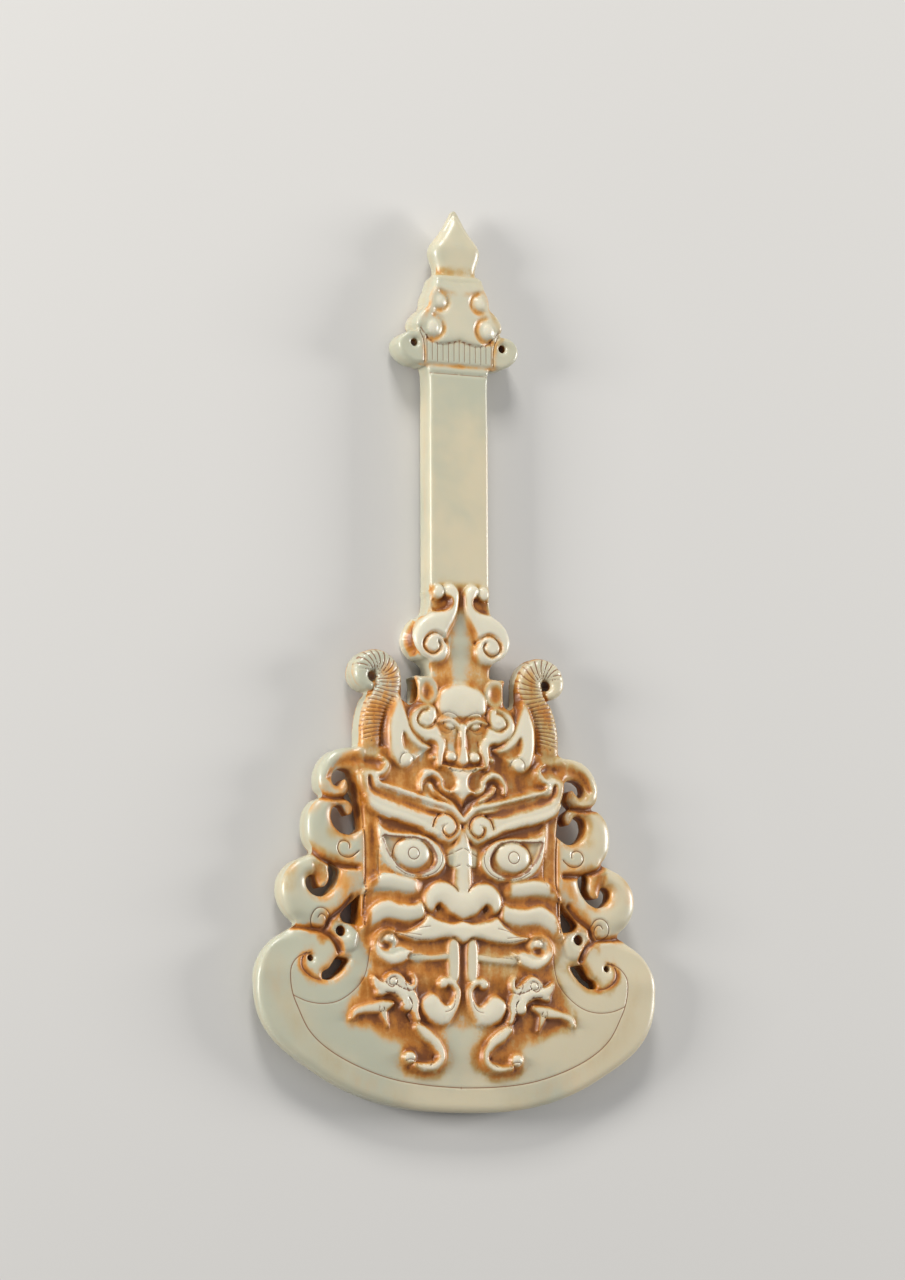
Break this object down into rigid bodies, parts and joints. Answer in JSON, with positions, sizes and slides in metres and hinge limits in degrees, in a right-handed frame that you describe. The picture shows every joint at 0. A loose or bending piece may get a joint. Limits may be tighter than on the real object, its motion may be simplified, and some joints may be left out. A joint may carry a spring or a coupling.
{
  "type": "carved jade ceremonial axe",
  "caption": "Jade ceremonial axe carved from one stone: wide curved blade with a beast mask, openwork scroll hooks, a small horned mask, and a long flat handle with collar and pointed finial.",
  "frame": {"origin": "middle of the footprint on the surface that the back of the carving lies on", "axes": "+Z out of the carved front face, +Y up the handle towards the finial, +X to the right as the mask is seen"},
  "size_m": [0.1436, 0.3, 0.0134],
  "materials": {
    "jade": "polished pale celadon stone with cream rims and russet-brown stain in the recesses and engraved lines"
  },
  "bodies": {
    "root": {"jade_axe": "jade"}
  },
  "joints": []
}
